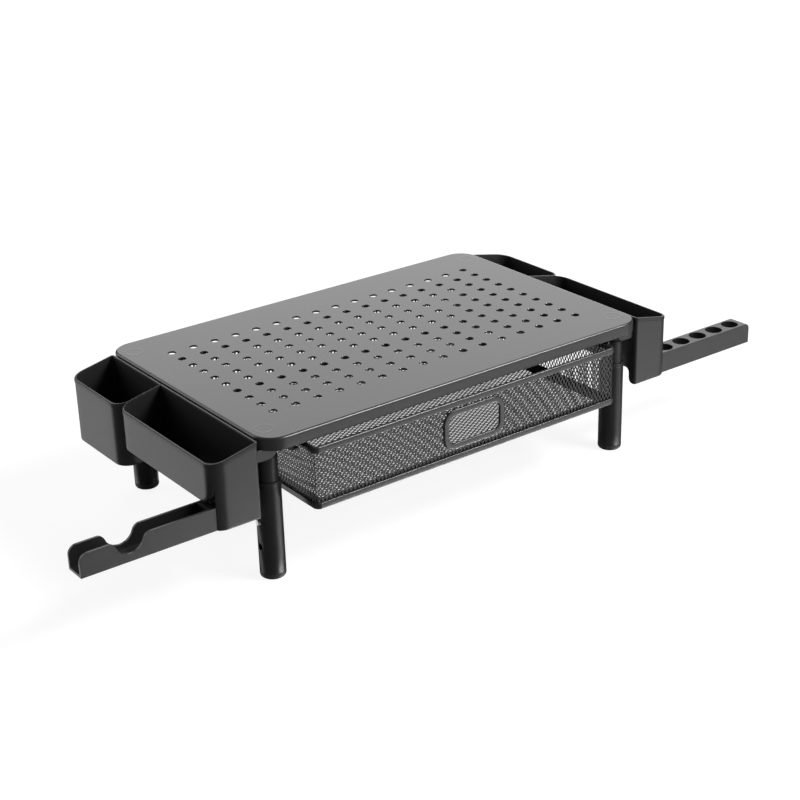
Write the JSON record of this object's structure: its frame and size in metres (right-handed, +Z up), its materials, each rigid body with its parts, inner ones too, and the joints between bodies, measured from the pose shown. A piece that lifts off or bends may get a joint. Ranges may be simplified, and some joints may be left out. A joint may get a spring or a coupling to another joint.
{
  "type": "monitor stand",
  "caption": "Raised platform on height-adjustable legs, with a pull-out mesh drawer, clip-on side bins, a hook arm and a pen-holder arm.",
  "frame": {"origin": "on the desk, under the middle of the footprint, with the drawer shut and the legs at their middle setting", "axes": "+X to the right, +Y to the back, +Z up; the drawer opens towards -Y"},
  "size_m": [0.66, 0.2426, 0.12],
  "materials": {
    "plate_steel": "satin black powder coat",
    "leg_steel": "satin black paint",
    "drawer_steel": "satin black powder coat",
    "bin_plastic": "fine matt black moulding",
    "leg_plastic": "satin black moulding",
    "foot_rubber": "matt black rubber",
    "plain_steel": "zinc plated"
  },
  "bodies": {
    "stand": {"top_plate": "plate_steel", "runner_left": "plate_steel", "runner_right": "plate_steel", "weld_nuts": "plate_steel", "leg_studs": "plain_steel", "drawer_bumpers": "foot_rubber", "leg_post_fl": "leg_plastic", "leg_post_fr": "leg_plastic", "leg_post_bl": "leg_plastic", "leg_post_br": "leg_plastic", "snap_spring_fl": "plain_steel", "snap_spring_fr": "plain_steel", "snap_spring_bl": "plain_steel", "snap_spring_br": "plain_steel", "bin_left": "bin_plastic", "bin_right": "bin_plastic", "arm_screw_left": "plain_steel", "arm_screw_right": "plain_steel"},
    "drawer": {"drawer_rim_upper": "drawer_steel", "drawer_rim_lower": "drawer_steel", "drawer_grip": "drawer_steel", "mesh_front": "drawer_steel", "mesh_back": "drawer_steel", "mesh_left": "drawer_steel", "mesh_right": "drawer_steel", "mesh_floor": "drawer_steel", "glide_left": "drawer_steel", "glide_right": "drawer_steel"},
    "arm_left": {"arm_left": "bin_plastic"},
    "arm_right": {"arm_right": "bin_plastic"},
    "leg_fl": {"leg_tube_fl": "leg_steel", "leg_collar_fl": "leg_plastic", "leg_foot_fl": "foot_rubber"},
    "button_fl": {"snap_button_fl": "plain_steel"},
    "leg_fr": {"leg_tube_fr": "leg_steel", "leg_collar_fr": "leg_plastic", "leg_foot_fr": "foot_rubber"},
    "button_fr": {"snap_button_fr": "plain_steel"},
    "leg_bl": {"leg_tube_bl": "leg_steel", "leg_collar_bl": "leg_plastic", "leg_foot_bl": "foot_rubber"},
    "button_bl": {"snap_button_bl": "plain_steel"},
    "leg_br": {"leg_tube_br": "leg_steel", "leg_collar_br": "leg_plastic", "leg_foot_br": "foot_rubber"},
    "button_br": {"snap_button_br": "plain_steel"}
  },
  "joints": [
    {"name": "drawer_slide", "type": "slide", "parent": "stand", "child": "drawer", "axis": [0, -1, 0], "range_m": [0, 0.15]},
    {"name": "arm_left_swing", "type": "hinge", "parent": "stand", "child": "arm_left", "pos_m": [-0.217, -0.09325, 0.0672], "axis": [0, 0, -1], "range_deg": [0, 90]},
    {"name": "arm_right_swing", "type": "hinge", "parent": "stand", "child": "arm_right", "pos_m": [0.217, -0.09325, 0.0672], "axis": [0, 0, 1], "range_deg": [0, 90]},
    {"name": "leg_fl_height", "type": "slide", "parent": "stand", "child": "leg_fl", "axis": [0, 0, -1], "range_m": [-0.02, 0.02], "deforming": ["snap_spring_fl", "snap_button_fl"]},
    {"name": "leg_fr_height", "type": "slide", "parent": "stand", "child": "leg_fr", "axis": [0, 0, -1], "range_m": [-0.02, 0.02], "deforming": ["snap_spring_fr", "snap_button_fr"]},
    {"name": "leg_bl_height", "type": "slide", "parent": "stand", "child": "leg_bl", "axis": [0, 0, -1], "range_m": [-0.02, 0.02], "deforming": ["snap_spring_bl", "snap_button_bl"]},
    {"name": "leg_br_height", "type": "slide", "parent": "stand", "child": "leg_br", "axis": [0, 0, -1], "range_m": [-0.02, 0.02], "deforming": ["snap_spring_br", "snap_button_br"]},
    {"name": "button_fl_press", "type": "slide", "parent": "stand", "child": "button_fl", "axis": [1, 0, 0], "range_m": [0, 0.0025], "stiffness_N_per_m": 1500, "springref_m": -0.001, "deforming": ["snap_spring_fl"]},
    {"name": "button_fr_press", "type": "slide", "parent": "stand", "child": "button_fr", "axis": [-1, 0, 0], "range_m": [0, 0.0025], "stiffness_N_per_m": 1500, "springref_m": -0.001, "deforming": ["snap_spring_fr"]},
    {"name": "button_bl_press", "type": "slide", "parent": "stand", "child": "button_bl", "axis": [1, 0, 0], "range_m": [0, 0.0025], "stiffness_N_per_m": 1500, "springref_m": -0.001, "deforming": ["snap_spring_bl"]},
    {"name": "button_br_press", "type": "slide", "parent": "stand", "child": "button_br", "axis": [-1, 0, 0], "range_m": [0, 0.0025], "stiffness_N_per_m": 1500, "springref_m": -0.001, "deforming": ["snap_spring_br"]}
  ]
}
